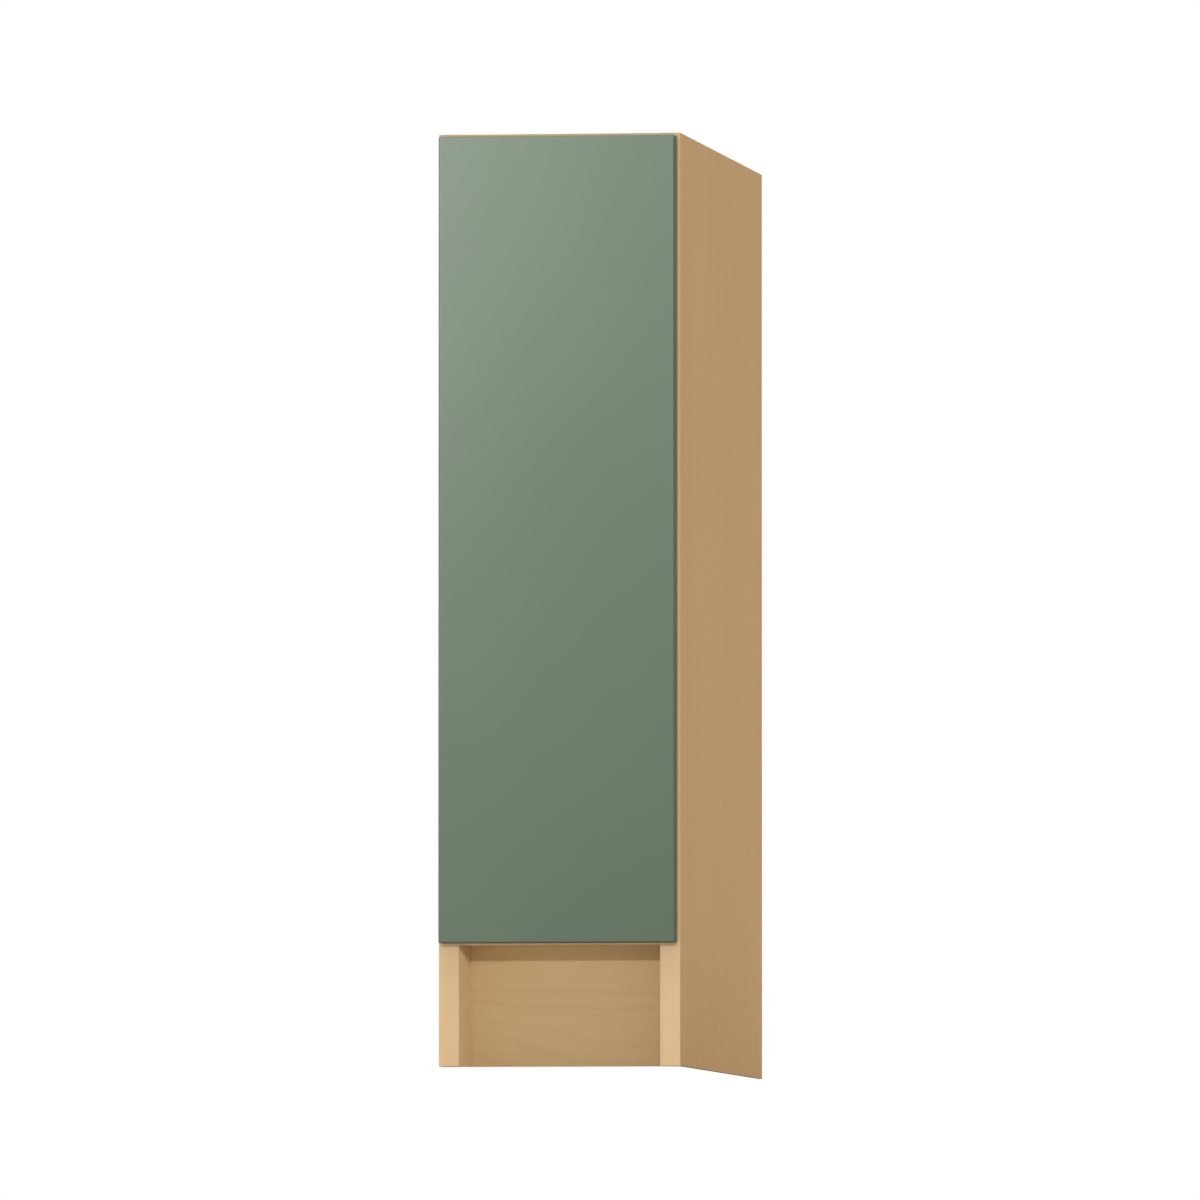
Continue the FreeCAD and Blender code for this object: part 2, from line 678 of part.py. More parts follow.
def trays(cabinet):
    """Two fixed trays: a floor let into the grooves of two side boards, screwed between the uprights."""
    for tray, base in tray_bases.items():
        floor_low = base + tray_floor_raise
        floor_high = floor_low + tray_floor_thickness
        groove_reach = rack_half - rack_board + tray_groove_depth
        floor_half = groove_reach - bore_end_play
        floor = box(-floor_half, floor_half, bay_front, bay_rear, floor_low, floor_high)
        cabinet.add(f"{tray}_tray_floor", floor)
        for name, side in sides.items():
            node = f"{tray}_tray_{name}_side"
            inside, outside = side * (rack_half - rack_board), side * rack_half
            top = base + tray_side_height
            board = box(inside, outside, bay_front, bay_rear, base, top)
            middle = base + tray_side_height / 2
            board = eased(board, tray_side_round, lambda a, b: along_y(a, b) and a.z > middle)
            cabinet.add(node, board)
            groove = box(
                inside, side * groove_reach, bay_front, bay_rear,
                floor_low - tray_groove_play, floor_high + tray_groove_play,
            )
            cabinet.bore(node, groove)
            tray_screws(cabinet, node, side * (rack_half - rack_board / 2), base)


def tray_screws(cabinet, node, x, base):
    """Flat-headed screws through both uprights into the ends of a tray's side board."""
    ends = {
        "rack_front_upright": (rack_front, Vector(0, 1, 0)),
        "rack_rear_upright": (rack_rear, Vector(0, -1, 0)),
    }
    for upright, (y, way) in ends.items():
        floor_high = base + tray_floor_raise + tray_floor_thickness
        for z in (floor_high + tray_screw_above_floor, base + tray_side_height - tray_screw_below_top):
            point = Vector(x, y, z)
            cabinet.add("rack_screws", placed(countersunk_screw(), point, way))
            hole = placed(countersunk_hole(), point, way)
            cabinet.bore(upright, hole)
            cabinet.bore(node, hole)


def gallery(x, y0, y1, shelf_top):
    """Bent wire rail along one edge of a shelf, with its two legs in the shelf's sockets."""
    foot = shelf_top - gallery_socket_depth + gallery_socket_floor
    top = shelf_top + gallery_height
    bend, corner = gallery_bend, gallery_bend * (1 - math.sqrt(0.5))
    path = Part.Wire([
        Part.LineSegment(Vector(x, y0, foot), Vector(x, y0, top - bend)).toShape(),
        Part.Arc(
            Vector(x, y0, top - bend), Vector(x, y0 + corner, top - corner), Vector(x, y0 + bend, top)
        ).toShape(),
        Part.LineSegment(Vector(x, y0 + bend, top), Vector(x, y1 - bend, top)).toShape(),
        Part.Arc(
            Vector(x, y1 - bend, top), Vector(x, y1 - corner, top - corner), Vector(x, y1, top - bend)
        ).toShape(),
        Part.LineSegment(Vector(x, y1, top - bend), Vector(x, y1, foot)).toShape(),
    ])
    section = Part.Wire(Part.makeCircle(wire_radius, Vector(x, y0, foot), Vector(0, 0, 1)))
    return path.makePipeShell([section], True, False)


def shelves(cabinet):
    """Two loose shelves on pins, each with a chrome rail along both long edges."""
    half = rack_half - shelf_side_gap
    y0, y1 = bay_front + shelf_end_gap, bay_rear - shelf_end_gap
    for shelf, level in shelf_levels.items():
        top = level + rack_board
        board = box(-half, half, y0, y1, level, top)
        cabinet.add(f"{shelf}_shelf", eased(board, shelf_edge_round, along_y))
        for side in sides.values():
            x = side * (half - gallery_side_inset)
            leg_front, leg_rear = y0 + gallery_end_inset, y1 - gallery_end_inset
            cabinet.add(f"{shelf}_shelf_rails", gallery(x, leg_front, leg_rear, top))
            for y in (leg_front, leg_rear):
                mouth = Vector(x, y, top)
                socket_radius = wire_radius + gallery_socket_play
                socket = rod(socket_radius, mouth, Vector(0, 0, -1), gallery_socket_depth)
                cabinet.bore(f"{shelf}_shelf", socket)
        shelf_pins(cabinet, level)


def shelf_pins(cabinet, level):
    """Four collared pins with flat paddles under a shelf's ends."""
    for face, way in ((bay_front, Vector(0, -1, 0)), (bay_rear, Vector(0, 1, 0))):
        for x in (-pin_x, pin_x):
            centre = Vector(x, face, pin_axis(level))
            shank = rod(pin_hole_radius - screw_clearance, centre, way, pin_length)
            collar = rod(pin_collar_radius, centre, -way, pin_collar)
            below_shelf = box(
                x - pin_collar_radius, x + pin_collar_radius,
                face - pin_reach, face + pin_reach, level - 2 * pin_collar_radius, level,
            )
            reach_end = face - way.y * (pin_collar + pin_reach)
            paddle = box(
                x - pin_paddle_width / 2, x + pin_paddle_width / 2,
                min(face, reach_end), max(face, reach_end), level - pin_paddle_height, level,
            )
            pin = shank.fuse([collar.common(below_shelf), paddle]).removeSplitter()
            cabinet.add("shelf_pins", pin)


def main():
    cabinet = Assembly()
    carcass_panels(cabinet)
    edge_bands(cabinet)
    carcass_joints(cabinet)
    fixing_holes(cabinet)
    slides(cabinet)
    door(cabinet)
    door_fixings(cabinet)
    uprights(cabinet)
    trays(cabinet)
    shelves(cabinet)
    cabinet.export("parts")
    print(f"{len(cabinet.pieces)} nodes, slide {slide_length:.2f} mm, travel {slide_travel:.2f} mm")


main()
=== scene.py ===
"""Looks, light and camera for the spice rack base cabinet, in the CAD frame, in metres."""

import math

import bpy
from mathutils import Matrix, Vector


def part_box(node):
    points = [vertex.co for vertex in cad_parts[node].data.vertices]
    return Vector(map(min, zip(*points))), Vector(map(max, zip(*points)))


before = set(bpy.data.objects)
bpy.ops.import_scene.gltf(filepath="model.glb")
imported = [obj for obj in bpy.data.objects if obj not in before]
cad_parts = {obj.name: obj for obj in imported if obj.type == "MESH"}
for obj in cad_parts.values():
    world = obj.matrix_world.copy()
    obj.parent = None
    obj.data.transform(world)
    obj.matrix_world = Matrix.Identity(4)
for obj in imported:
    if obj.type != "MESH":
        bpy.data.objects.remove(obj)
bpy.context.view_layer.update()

# Colours, linear
PLY_FACE = (0.655, 0.411, 0.181)
PLY_DARK = (0.525, 0.312, 0.128)
# Paler, less orange tone for the inside boards and inner faces: painted light that cancels the orange of
# light bounced between them
BOUNCE_PALED_FACE = (0.664, 0.482, 0.254)
BOUNCE_PALED_DARK = (0.536, 0.372, 0.184)
PLY_CORE = (0.430, 0.255, 0.120)
PLY_GLUE = (0.160, 0.090, 0.045)
BAND_FACE = (0.745, 0.530, 0.296)
BAND_DARK = (0.632, 0.430, 0.227)
MAPLE_FACE = (0.740, 0.560, 0.350)
MAPLE_DARK = (0.590, 0.400, 0.220)
BEECH_FACE = (0.620, 0.430, 0.260)
BEECH_DARK = (0.480, 0.300, 0.160)
LACQUER = (0.116, 0.165, 0.110)
LACQUER_DEEP = (0.108, 0.153, 0.102)
# Darker green on the door's edges is painted shade, standing for the shaded dark outline round the door
LACQUER_EDGE_SHADE = (0.080, 0.115, 0.074)
ZINC = (0.560, 0.575, 0.600)
ZINC_DULL = (0.490, 0.503, 0.528)
CAST_ZINC = (0.480, 0.480, 0.470)
CAST_ZINC_DULL = (0.350, 0.350, 0.345)
BRIGHT_STEEL = (0.620, 0.620, 0.610)
BRIGHT_STEEL_DULL = (0.500, 0.500, 0.490)
NICKEL = (0.660, 0.630, 0.570)
NICKEL_DULL = (0.560, 0.530, 0.470)
CHROME = (0.600, 0.612, 0.630)
CHROME_DULL = (0.540, 0.550, 0.568)
BLACK_PLASTIC = (0.020, 0.020, 0.021)
BLACK_PLASTIC_WORN = (0.034, 0.034, 0.035)
PALE_PLASTIC = (0.620, 0.610, 0.570)
PALE_PLASTIC_WORN = (0.540, 0.530, 0.490)
SILICONE = (0.800, 0.810, 0.820)
SILICONE_DULL = (0.720, 0.730, 0.740)
FLOOR_PALE = (0.860, 0.860, 0.855)
FLOOR_SHADE = (0.830, 0.830, 0.825)
WHITE = (1.0, 1.0, 1.0)

# Axes of the cabinet
WIDTH_AXIS = 0
DEPTH_AXIS = 1

# Range that most values of a noise lie in
NOISE_SPAN = (0.3, 0.7)

# Grain of wood, in noise cells per metre along and across a board
SWAY_GRAIN = (2.2, 9.0)
DRIFT_GRAIN = (1.1, 5.0)
FIBRE_GRAIN = (7.0, 420.0)
PORE_GRAIN = (26.0, 1500.0)

# Growth rings: the pith's place across, as a share of the width, its depth and slope, and the rings' sway
PITH_SIDE = (-0.25, 0.25)
PITH_DEPTH = (0.03, 0.08)
PITH_SLOPE = (0.015, 0.045)
RING_SWAY = 0.05

# How far each feature takes a wood towards its dark colour
RING_TONE = 0.46
DRIFT_TONE = 0.28
FIBRE_TONE = 0.26
PORE_TONE = 0.35

# Strength of reflections, 0.5 for a common plastic
WOOD_SPECULAR = 0.12
LACQUER_SPECULAR = 0.30

# Heights that bumps stand for
FINE_RELIEF = 0.0001
GRAIN_RELIEF = 0.0002

# Camera, fitted to the corners of the carcass in the photograph
CAMERA_PLACE = (2.5383, -18.1872, -0.3930)
CAMERA_AIM = (-0.13815, 0.98935, 0.04589)
CAMERA_LENS = 578.43
CAMERA_SENSOR = 36.0
CAMERA_REACH = 200.0

# World: the light that falls on things, and the backdrop that is seen
AMBIENT = 0.46
BACKDROP = 1.0

# Stage
FLOOR_HALF = 30.0
FLOOR_FADE = (1.2, 4.0)
STAGE_ROUGHNESS = 0.9
UNDERLAY_LEVEL = -0.0005


class Surface:
    """A material and short ways to add and join its nodes."""

    def __init__(self, name):
        self.material = bpy.data.materials.new(name)
        self.material.use_nodes = True
        self.tree = self.material.node_tree
        self.tree.nodes.clear()
        self.bsdf = self.node("ShaderNodeBsdfPrincipled")
        self.output = self.node("ShaderNodeOutputMaterial")
        self.join(self.bsdf.outputs["BSDF"], self.output.inputs["Surface"])
        self.coords = self.node("ShaderNodeTexCoord")

    def node(self, kind, **settings):
        made = self.tree.nodes.new(kind)
        for key, value in settings.items():
            setattr(made, key, value)
        return made

    def join(self, source, socket):
        self.tree.links.new(source, socket)

    def feed(self, socket, value):
        """Links a socket if the value is an output, and sets it otherwise."""
        if isinstance(value, bpy.types.NodeSocket):
            self.join(value, socket)
        else:
            socket.default_value = value

    def set(self, **values):
        """Sets or links the shader's own sockets, whose spaces are written as underscores."""
        for key, value in values.items():
            self.feed(self.bsdf.inputs[key.replace("_", " ")], value)

    def maths(self, operation, *values, clamp=False):
        made = self.node("ShaderNodeMath", operation=operation, use_clamp=clamp)
        for socket, value in zip(made.inputs, values):
            self.feed(socket, value)
        return made.outputs[0]

    def weighted(self, *pairs):
        """Sum of values, each times its weight."""
        total, *others = [self.maths("MULTIPLY", value, weight) for value, weight in pairs]
        for other in others:
            total = self.maths("ADD", total, other)
        return total

    def mix(self, factor, first, second):
        """Colour between two, linear in the factor."""
        made = self.node("ShaderNodeMix", data_type="RGBA")
        factor_socket, first_socket, second_socket = made.inputs[0], made.inputs[6], made.inputs[7]
        self.feed(factor_socket, factor)
        for socket, colour in ((first_socket, first), (second_socket, second)):
            self.feed(socket, (*colour, 1.0) if isinstance(colour, tuple) else colour)
        return made.outputs[2]

    def between(self, value, span, ends=(0.0, 1.0)):
        """Value carried from one range to another and held at its ends."""
        made = self.node("ShaderNodeMapRange")
        for socket, number in zip(made.inputs, (value, *span, *ends)):
            self.feed(socket, number)
        return made.outputs[0]

    def scaled(self, scale, offset=(0.0, 0.0, 0.0)):
        """Object coordinates, moved and then stretched along the axes."""
        made = self.node("ShaderNodeMapping", vector_type="POINT")
        made.inputs["Location"].default_value = [o * s for o, s in zip(offset, scale)]
        made.inputs["Scale"].default_value = scale
        self.join(self.coords.outputs["Object"], made.inputs["Vector"])
        return made.outputs[0]

    def noise(self, vector, detail=2.0, roughness=0.5):
        """Noise with one cell per unit of its coordinates."""
        made = self.node("ShaderNodeTexNoise")
        self.join(vector, made.inputs["Vector"])
        for key, value in (("Scale", 1.0), ("Detail", detail), ("Roughness", roughness)):
            made.inputs[key].default_value = value
        return made.outputs[0]

    def even_noise(self, cells, detail=2.0, roughness=0.5):
        """Noise with the same number of cells per metre along every axis."""
        return self.noise(self.scaled((cells, cells, cells)), detail, roughness)

    def parts(self, vector):
        made = self.node("ShaderNodeSeparateXYZ")
        self.join(vector, made.inputs[0])
        return made.outputs

    def facing(self, axis):
        """How far the surface looks along one axis of the object, from -1 to 1."""
        return self.parts(self.coords.outputs["Normal"])[axis]

    def bump(self, height, strength, distance):
        made = self.node("ShaderNodeBump")
        made.inputs["Strength"].default_value = strength
        made.inputs["Distance"].default_value = distance
        self.join(height, made.inputs["Height"])
        self.join(made.outputs[0], self.bsdf.inputs["Normal"])

    def switch(self, factor, other):
        """Shows another shader in place of the material's own where the factor is 1."""
        choose = self.node("ShaderNodeMixShader")
        for source, socket in zip((factor, self.bsdf.outputs[0], other.outputs[0]), choose.inputs):
            self.join(source, socket)
        self.join(choose.outputs[0], self.output.inputs["Surface"])


def drawn(seed, turn, low, high):
    """A fixed number between two that looks random."""
    seed_step, turn_step, spread = 12.9898, 78.233, 43758.5453
    share = math.modf(abs(math.sin(seed_step * seed + turn_step * turn)) * spread)[0]
    return low + (high - low) * share


def board_axes(node):
    """A board's middle, its extent, and its axes from thinnest to longest."""
    low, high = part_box(node)
    extent = high - low
    return (low + high) / 2, extent, sorted(range(3), key=lambda axis: extent[axis])


def wood_figure(surface, node, seed, ring_pitch, leaf):
    """Growth rings round a sloping pith, and the drift, fibres and pores that run along a board.
    With a leaf width, the rings are mirrored from one veneer leaf to the next."""
    seed_step_along, seed_step_across, whole_leaves = 0.37, 0.113, 4.0
    uneven_cells, late_wood_power, pore_span = 60.0, 3.0, (0.58, 0.75)
    middle, extent, (thin, across, along) = board_axes(node)
    offset = Vector((0.0, 0.0, 0.0))
    offset[along], offset[across] = seed_step_along * seed, seed_step_across * seed

    def stretched(scale_along, scale_across):
        scale = [scale_across] * 3
        scale[along] = scale_along
        return surface.scaled(scale, offset)

    place = surface.parts(surface.scaled((1.0, 1.0, 1.0), -middle))
    width_wise = place[across]
    if leaf:
        shifted = surface.maths("ADD", width_wise, leaf * (whole_leaves + drawn(seed, 1, 0.0, 1.0)))
        width_wise = surface.maths("SUBTRACT", surface.maths("PINGPONG", shifted, leaf), 0.5 * leaf)
    pith_across = drawn(seed, 2, *PITH_SIDE) * (leaf or extent[across])
    pith_depth = drawn(seed, 3, *PITH_DEPTH)
    slope = drawn(seed, 4, *PITH_SLOPE)
    sway = surface.noise(stretched(*SWAY_GRAIN), detail=3.0, roughness=0.55)
    bend = surface.maths("MULTIPLY", surface.maths("SUBTRACT", sway, 0.5), RING_SWAY)
    from_pith = surface.maths("ADD", surface.maths("SUBTRACT", width_wise, pith_across), bend)
    depth = surface.maths("ADD", place[thin], surface.maths("MULTIPLY", place[along], slope))
    depth = surface.maths("ADD", surface.maths("ADD", depth, pith_depth), bend)
    radius = surface.maths("ADD", surface.maths("POWER", from_pith, 2.0), surface.maths("POWER", depth, 2.0))
    radius = surface.maths("SQRT", radius)
    uneven = surface.node("ShaderNodeTexNoise", noise_dimensions="1D")
    surface.feed(uneven.inputs["W"], surface.maths("MULTIPLY", radius, uneven_cells))
    phase = surface.maths("ADD", surface.maths("DIVIDE", radius, ring_pitch), uneven.outputs[0])
    rings = surface.maths("POWER", surface.maths("FRACT", phase), late_wood_power)
    drift = surface.noise(stretched(*DRIFT_GRAIN))
    fibre = surface.noise(stretched(*FIBRE_GRAIN), detail=3.0, roughness=0.6)
    pores = surface.between(surface.noise(stretched(*PORE_GRAIN), detail=1.0), pore_span)
    return drift, rings, fibre, pores


def ply_edges(surface, node, colour, dark, plies):
    """A board's face colour, with the layers of its plies on its raw edges."""
    waver_cells, waver_reach, glue_share, glue_strength = 40.0, 0.12, 0.07, 0.6
    grit_cells, grit_span, grit_range = 900.0, (0.35, 0.7), (0.0, 0.55)
    middle, extent, (thin, _, _) = board_axes(node)
    edge = surface.maths("LESS_THAN", surface.maths("ABSOLUTE", surface.facing(thin)), 0.5)
    place = surface.parts(surface.coords.outputs["Object"])[thin]
    low = middle[thin] - extent[thin] / 2
    depth = surface.maths("MULTIPLY", surface.maths("SUBTRACT", place, low), plies / extent[thin])
    waver = surface.maths("SUBTRACT", surface.even_noise(waver_cells), 0.5)
    depth = surface.maths("ADD", depth, surface.maths("MULTIPLY", waver, waver_reach))
    layer = surface.maths("FLOOR", depth)
    crossed = surface.maths("LESS_THAN", surface.maths("PINGPONG", layer, 1.0), 0.5)
    glue = surface.maths("LESS_THAN", surface.maths("FRACT", depth), glue_share)
    grit = surface.between(surface.even_noise(grit_cells), grit_span, grit_range)
    layers = surface.mix(crossed, surface.mix(grit, PLY_CORE, dark), colour)
    layers = surface.mix(surface.maths("MULTIPLY", glue, glue_strength), layers, PLY_GLUE)
    return surface.mix(edge, colour, layers)


def end_grain(surface, node, colour, rings, dark):
    """A solid board's colour, with speckled end grain on its two ends."""
    speckle_cells, speckle_span, ring_strength = 1100.0, (0.3, 0.75), 0.5
    end_facing, end_strength = 0.6, 0.75
    along = board_axes(node)[2][2]
    end = surface.maths("GREATER_THAN", surface.maths("ABSOLUTE", surface.facing(along)), end_facing)
    speckle = surface.between(surface.even_noise(speckle_cells), speckle_span)
    cut = surface.mix(speckle, dark, PLY_CORE)
    cut = surface.mix(surface.maths("MULTIPLY", rings, ring_strength), cut, dark)
    return surface.mix(surface.maths("MULTIPLY", end, end_strength), colour, cut)


def inner_face(surface, node, colour, bounce_paled):
    """A side panel's colour, with a paler, less orange tone painted on the face that looks into the cabinet,
    as painted light that cancels the orange of light bounced inside.
    """
    middle, _, (thin, _, _) = board_axes(node)
    inward = -math.copysign(1.0, middle[thin])
    facing = surface.maths("MULTIPLY", surface.facing(thin), inward)
    # Painted light: the face that looks inwards takes the paler, less orange tone
    return surface.mix(surface.maths("GREATER_THAN", facing, 0.5), colour, bounce_paled)


def wood(node, seed, face, dark, figure, ring_pitch=0.007, leaf=0.0, roughness=0.46, plies=0, bounce_paled=()):
    """Lacquered wood along a board's length. With plies, its raw edges show their layers; without,
    its ends show end grain. The paled pair is the light and dark colour painted on its inner face, paler and
    less orange as painted light that cancels light bounced between the inside boards."""
    fibre_span, roughness_range = (0.25, 0.75), (roughness - 0.05, roughness + 0.07)
    fibre_height, pore_height, relief_strength = 0.6, -0.5, 0.12
    surface = Surface(f"{node}_wood")
    drift, rings, fibre, pores = wood_figure(surface, node, seed, ring_pitch, leaf)
    tone = surface.weighted(
        (rings, RING_TONE),
        (surface.between(drift, NOISE_SPAN), DRIFT_TONE),
        (surface.between(fibre, NOISE_SPAN), FIBRE_TONE),
    )
    tone = surface.maths("MULTIPLY", tone, figure)
    tone = surface.maths("ADD", tone, surface.maths("MULTIPLY", pores, PORE_TONE * figure), clamp=True)
    colour = surface.mix(tone, face, dark)
    if bounce_paled:
        colour = inner_face(surface, node, colour, surface.mix(tone, *bounce_paled))
    if plies:
        colour = ply_edges(surface, node, colour, dark, plies)
    else:
        colour = end_grain(surface, node, colour, rings, dark)
    surface.set(Base_Color=colour, Specular_IOR_Level=WOOD_SPECULAR)
    surface.set(Roughness=surface.between(fibre, fibre_span, roughness_range))
    relief = surface.weighted((fibre, fibre_height), (pores, pore_height))
    surface.bump(relief, relief_strength, GRAIN_RELIEF)
    return surface


def lacquer(node):
    """Sprayed satin lacquer: a slow drift in tone and a fine orange-peel skin, rougher on its edges, whose
    colour is darkened there as painted shade.
    """
    drift_cells, peel_cells, peel_strength = (6.0, 6.0, 3.0), 520.0, 0.05
    roughness_range, edge_span, edge_roughness = (0.30, 0.34), (0.9, 0.3), 0.45
    surface = Surface(f"{node}_lacquer")
    drift = surface.noise(surface.scaled(drift_cells))
    peel = surface.even_noise(peel_cells, roughness=0.4)
    edge = surface.between(surface.maths("ABSOLUTE", surface.facing(DEPTH_AXIS)), edge_span)
    colour = surface.mix(surface.between(drift, NOISE_SPAN), LACQUER, LACQUER_DEEP)
    # Painted shade: faces that don't look to the front or back are mixed towards a darker green
    surface.set(Base_Color=surface.mix(edge, colour, LACQUER_EDGE_SHADE), Specular_IOR_Level=LACQUER_SPECULAR)
    satin = surface.between(peel, NOISE_SPAN, roughness_range)
    surface.set(Roughness=surface.maths("ADD", satin, surface.maths("MULTIPLY", edge, edge_roughness)))
    surface.bump(peel, peel_strength, FINE_RELIEF)
    return surface


def rolled_metal(name, colour, dull, smooth, rough, along=DEPTH_AXIS, streak=0.06):
    """Plated metal with drawn streaks along one axis and soft cloudy patches."""
    cells_along, cells_across, cloud_cells, cloud_span = 9.0, 700.0, 55.0, (0.35, 0.7)
    streak_wear, cloud_wear = 0.6, 0.4
    surface = Surface(name)
    scale = [cells_across] * 3
    scale[along] = cells_along
    streaks = surface.noise(surface.scaled(scale), detail=3.0, roughness=0.6)
    clouds = surface.even_noise(cloud_cells, detail=3.0)
    surface.set(Base_Color=surface.mix(surface.between(clouds, cloud_span), colour, dull))
    wear = surface.weighted((streaks, streak_wear), (clouds, cloud_wear))
    surface.set(Metallic=1.0, Roughness=surface.between(wear, NOISE_SPAN, (smooth, rough)))
    surface.bump(streaks, streak, FINE_RELIEF)
    return surface


def moulded(name, colour, worn, roughness, grain=1400.0, relief=0.15):
    """Moulded plastic or cast metal skin with a fine even texture."""
    patch_cells, patch_span = 90.0, (0.4, 0.75)
    roughness_range = (roughness - 0.06, roughness + 0.08)
    surface = Surface(name)
    skin = surface.even_noise(grain)
    patches = surface.even_noise(patch_cells)
    surface.set(Base_Color=surface.mix(surface.between(patches, patch_span), colour, worn))
    surface.set(Roughness=surface.between(skin, NOISE_SPAN, roughness_range))
    surface.bump(skin, relief, FINE_RELIEF)
    return surface


def board_woods():
    """Settings of the wood of each wooden node."""
    ply = dict(figure=0.45, ring_pitch=0.011, leaf=0.21, roughness=0.74, plies=7)
    # Inside boards take the paler tone, painted light that cancels the orange of light bounced between them
    inside = dict(ply, face=BOUNCE_PALED_FACE, dark=BOUNCE_PALED_DARK)
    side = dict(ply, face=PLY_FACE, dark=PLY_DARK, bounce_paled=(BOUNCE_PALED_FACE, BOUNCE_PALED_DARK))
    maple = dict(face=MAPLE_FACE, dark=MAPLE_DARK, figure=0.62, ring_pitch=0.006, roughness=0.60)
    band = dict(face=BAND_FACE, dark=BAND_DARK, figure=0.30, roughness=0.70)
    woods = {
        "left_side_panel": side, "right_side_panel": side,
        "bottom_panel": inside, "toe_kick_board": inside, "rear_base_rail": inside,
        "front_stretcher": inside, "rear_stretcher": inside, "wall_nailer": inside,
        "back_panel": dict(inside, plies=3),
        "left_edge_band": band, "right_edge_band": band,
        "bottom_edge_band": band, "stretcher_edge_band": band,
        "carcass_dowels": dict(face=BEECH_FACE, dark=BEECH_DARK, figure=0.6),
    }
    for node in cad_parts:
        if node.endswith(("_upright", "_shelf")) or "_tray_" in node:
            woods[node] = maple
    return woods


def fittings():
    """Surfaces of the metal and plastic nodes, by the endings of their names."""
    rails = rolled_metal("rail_zinc", ZINC, ZINC_DULL, smooth=0.24, rough=0.40)
    cages = rolled_metal("cage_steel", BRIGHT_STEEL, BRIGHT_STEEL_DULL, smooth=0.16, rough=0.28)
    screws = rolled_metal(
        "screw_zinc", ZINC, ZINC_DULL, smooth=0.22, rough=0.36, along=WIDTH_AXIS, streak=0.03,
    )
    gallery = rolled_metal("gallery_chrome", CHROME, CHROME_DULL, smooth=0.05, rough=0.11, streak=0.01)
    pins = rolled_metal("pin_nickel", NICKEL, NICKEL_DULL, smooth=0.15, rough=0.26, streak=0.02)
    cams = moulded("cam_cast_zinc", CAST_ZINC, CAST_ZINC_DULL, roughness=0.42, grain=900.0, relief=0.25)
    cams.set(Metallic=1.0)
    levers = moulded("lever_plastic", BLACK_PLASTIC, BLACK_PLASTIC_WORN, roughness=0.48)
    adjusters = moulded("adjuster_plastic", PALE_PLASTIC, PALE_PLASTIC_WORN, roughness=0.44)
    bumpers = moulded("bumper_silicone", SILICONE, SILICONE_DULL, roughness=0.38, relief=0.05)
    bumpers.set(Transmission_Weight=0.55, IOR=1.41)
    return {
        "_rail": rails, "_ball_cage": cages, "_release_lever": levers,
        "_screws": screws, "cam_bolts": screws, "cam_locks": cams,
        "_shelf_rails": gallery, "shelf_pins": pins,
        "front_adjusters": adjusters, "door_bumpers": bumpers,
    }


def dress():
    """Gives every CAD node its material."""
    woods, shared = board_woods(), fittings()
    for seed, (node, thing) in enumerate(sorted(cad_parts.items())):
        if node == "door":
            surface = lacquer(node)
        elif node in woods:
            surface = wood(node, seed, **woods[node])
        else:
            surface = next(fitting for ending, fitting in shared.items() if node.endswith(ending))
        thing.data.materials.clear()
        thing.data.materials.append(surface.material)


def surroundings():
    """Even light from all round, and a white backdrop for what the camera sees, directly, mirrored or
    through clear things."""
    world = bpy.data.worlds.new("studio")
    bpy.context.scene.world = world
    world.use_nodes = True
    tree = world.node_tree
    tree.nodes.clear()
    path = tree.nodes.new("ShaderNodeLightPath")
    seen = path.outputs["Is Camera Ray"]
    for ray in ("Is Glossy Ray", "Is Transmission Ray"):
        either = tree.nodes.new("ShaderNodeMath")
        either.operation = "MAXIMUM"
        tree.links.new(seen, either.inputs[0])
        tree.links.new(path.outputs[ray], either.inputs[1])
        seen = either.outputs[0]
    choose = tree.nodes.new("ShaderNodeMixShader")
    tree.links.new(seen, choose.inputs[0])
    for strength, socket in zip((AMBIENT, BACKDROP), choose.inputs[1:]):
        white = tree.nodes.new("ShaderNodeBackground")
        white.inputs["Strength"].default_value = strength
        white.inputs["Color"].default_value = (*WHITE, 1.0)
        tree.links.new(white.outputs[0], socket)
    output = tree.nodes.new("ShaderNodeOutputWorld")
    tree.links.new(choose.outputs[0], output.inputs["Surface"])


def gathered(name, nodes):
    """Collection of some CAD nodes, for a light that shines on them alone."""
    collection = bpy.data.collections.new(name)
    for node in nodes:
        collection.objects.link(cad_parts[node])
    return collection


def panel_light(name, place, target, width, height, radiance, glossy=True, diffuse=True, lit=None):
    """Soft rectangular light that faces a target. The camera doesn't see it. With a collection, it lights
    only the things in it."""
    light = bpy.data.lights.new(name, "AREA")
    light.shape = "RECTANGLE"
    light.size, light.size_y = width, height
    light.energy = radiance * math.pi * width * height
    thing = bpy.data.objects.new(name, light)
    thing.location = place
    thing.rotation_mode = "QUATERNION"
    thing.rotation_quaternion = (Vector(target) - Vector(place)).to_track_quat("-Z", "Y")
    thing.visible_camera = False
    thing.visible_glossy = glossy
    thing.visible_diffuse = diffuse
    thing.light_linking.receiver_collection = lit
    bpy.context.scene.collection.objects.link(thing)


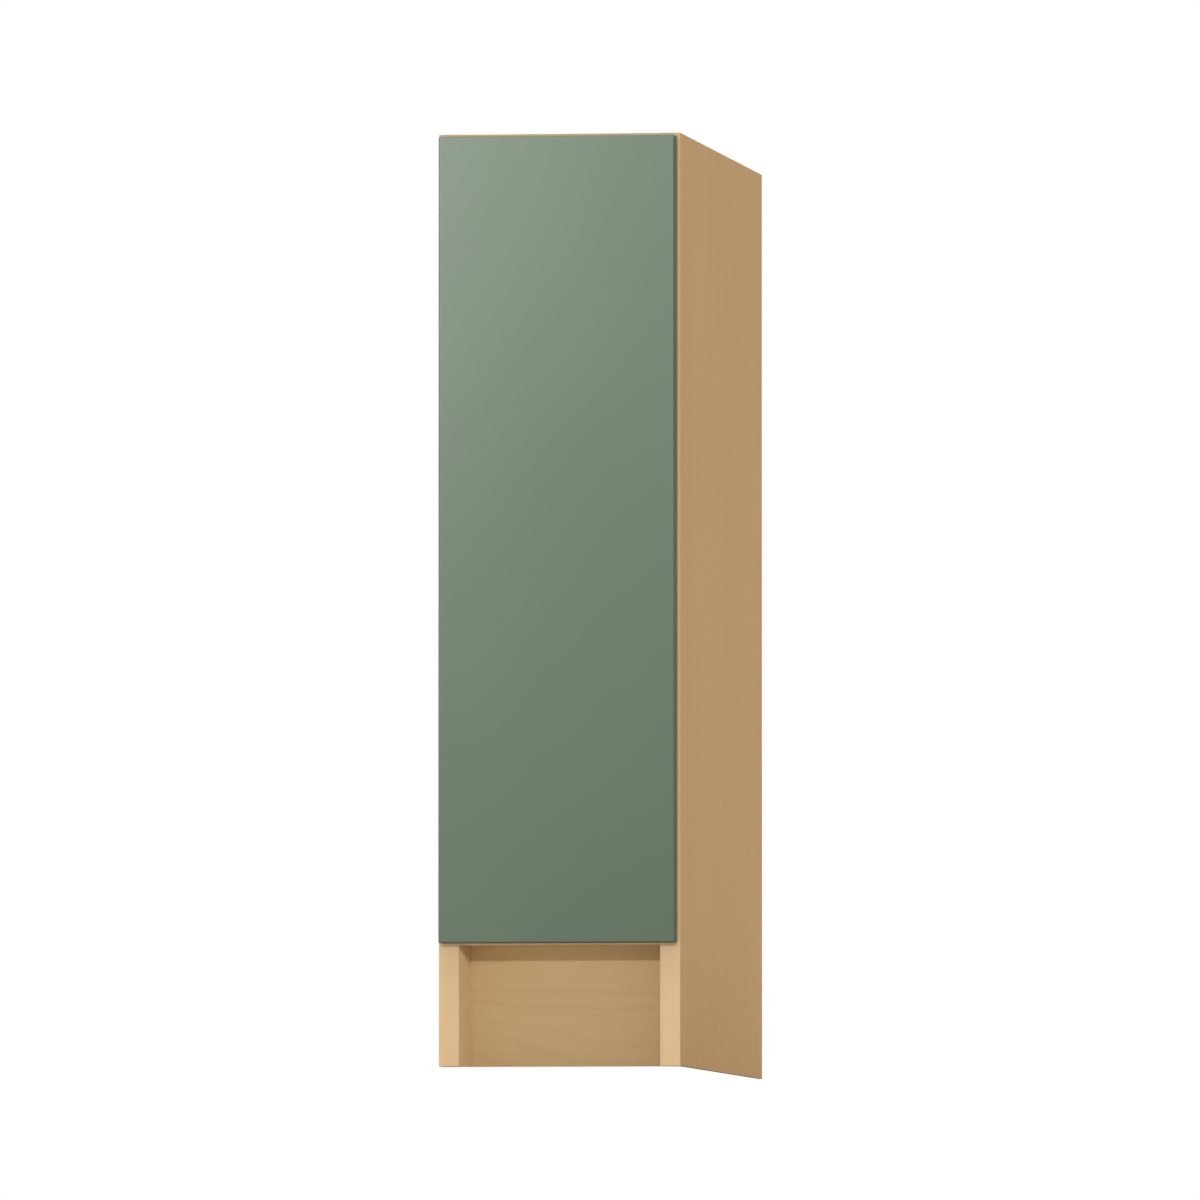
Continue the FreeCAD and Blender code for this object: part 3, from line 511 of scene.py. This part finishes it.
def lamps():
    """A wide panel overhead, two low front fills that miss the floor and the door, a fill for the toe
    recess, and two lamps at the upper left front for the door alone: a wash, and a strip that its lacquer
    reflects."""
    behind_door = gathered("behind_door", [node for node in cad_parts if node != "door"])
    recess = gathered("recess", ["left_side_panel"])
    front = gathered("front", ["door"])
    panel_light(
        "overhead", place=(0.0, 0.0, 4.5), target=(0.0, 0.0, 0.0),
        width=7.0, height=7.0, radiance=1.1,
    )
    panel_light(
        "low_fill", place=(0.20, -4.20, 0.70), target=(0.0, -0.3, 0.3),
        width=1.0, height=0.07, radiance=203.0, glossy=False, lit=behind_door,
    )
    panel_light(
        "skirting", place=(0.20, -3.00, 0.09), target=(0.0, -0.3, 0.09),
        width=3.2, height=0.16, radiance=3.6, glossy=False, lit=behind_door,
    )
    panel_light(
        "recess_fill", place=(2.50, -3.60, 0.75), target=(-0.1, -0.25, 0.06),
        width=0.6, height=0.3, radiance=145.0, glossy=False, lit=recess,
    )
    panel_light(
        "wash", place=(-0.91, -1.50, 1.71), target=(0.0, -0.3, 0.5),
        width=0.7, height=0.7, radiance=16.9, glossy=False, lit=front,
    )
    panel_light(
        "sheen", place=(-0.98, -3.00, 1.56), target=(-0.98, 0.0, 1.56),
        width=0.39, height=1.51, radiance=50.0, diffuse=False, lit=front,
    )


def stage_sheet(name, surface, low, high, level):
    """Flat rectangle that isn't part of the object."""
    (left, near), (right, far) = low, high
    corners = [(left, near, level), (right, near, level), (right, far, level), (left, far, level)]
    mesh = bpy.data.meshes.new(name)
    mesh.from_pydata(corners, [], [(0, 1, 2, 3)])
    mesh.materials.append(surface.material)
    thing = bpy.data.objects.new(name, mesh)
    bpy.context.scene.collection.objects.link(thing)


def floor():
    """Pale matt floor that fades into the white backdrop. It is clear from below, because the camera
    stands a little under it."""
    cloud_cells = 0.8
    surface = Surface("floor_pale")
    clouds = surface.between(surface.even_noise(cloud_cells), NOISE_SPAN)
    surface.set(Base_Color=surface.mix(clouds, FLOOR_PALE, FLOOR_SHADE))
    surface.set(Roughness=STAGE_ROUGHNESS, Specular_IOR_Level=0.0)
    reach = surface.node("ShaderNodeVectorMath", operation="LENGTH")
    surface.join(surface.coords.outputs["Object"], reach.inputs[0])
    faded = surface.between(reach.outputs["Value"], FLOOR_FADE)
    below = surface.node("ShaderNodeNewGeometry").outputs["Backfacing"]
    surface.switch(surface.maths("MAXIMUM", below, faded), surface.node("ShaderNodeBsdfTransparent"))
    stage_sheet("floor", surface, (-FLOOR_HALF, -FLOOR_HALF), (FLOOR_HALF, FLOOR_HALF), level=0.0)


def underlay():
    """White sheet just under the floor, below the carcass. It hides the cabinet's underside from the
    camera."""
    surface = Surface("underlay_white")
    surface.set(Base_Color=(*FLOOR_PALE, 1.0), Roughness=STAGE_ROUGHNESS)
    below = surface.node("ShaderNodeNewGeometry").outputs["Backfacing"]
    surface.switch(below, surface.node("ShaderNodeEmission"))
    low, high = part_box("left_side_panel")[0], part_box("right_side_panel")[1]
    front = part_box("left_edge_band")[0].y
    stage_sheet("underlay", surface, (low.x, front), (high.x, high.y), UNDERLAY_LEVEL)


def camera():
    """Long lens at the photograph's viewing angle."""
    data = bpy.data.cameras.new("camera")
    data.sensor_fit = "HORIZONTAL"
    data.sensor_width = CAMERA_SENSOR
    data.lens = CAMERA_LENS
    data.clip_end = CAMERA_REACH
    thing = bpy.data.objects.new("camera", data)
    thing.location = CAMERA_PLACE
    thing.rotation_mode = "QUATERNION"
    thing.rotation_quaternion = Vector(CAMERA_AIM).to_track_quat("-Z", "Y")
    bpy.context.scene.collection.objects.link(thing)
    bpy.context.scene.camera = thing


dress()
surroundings()
lamps()
floor()
underlay()
camera()
bpy.context.scene.view_settings.view_transform = "Standard"
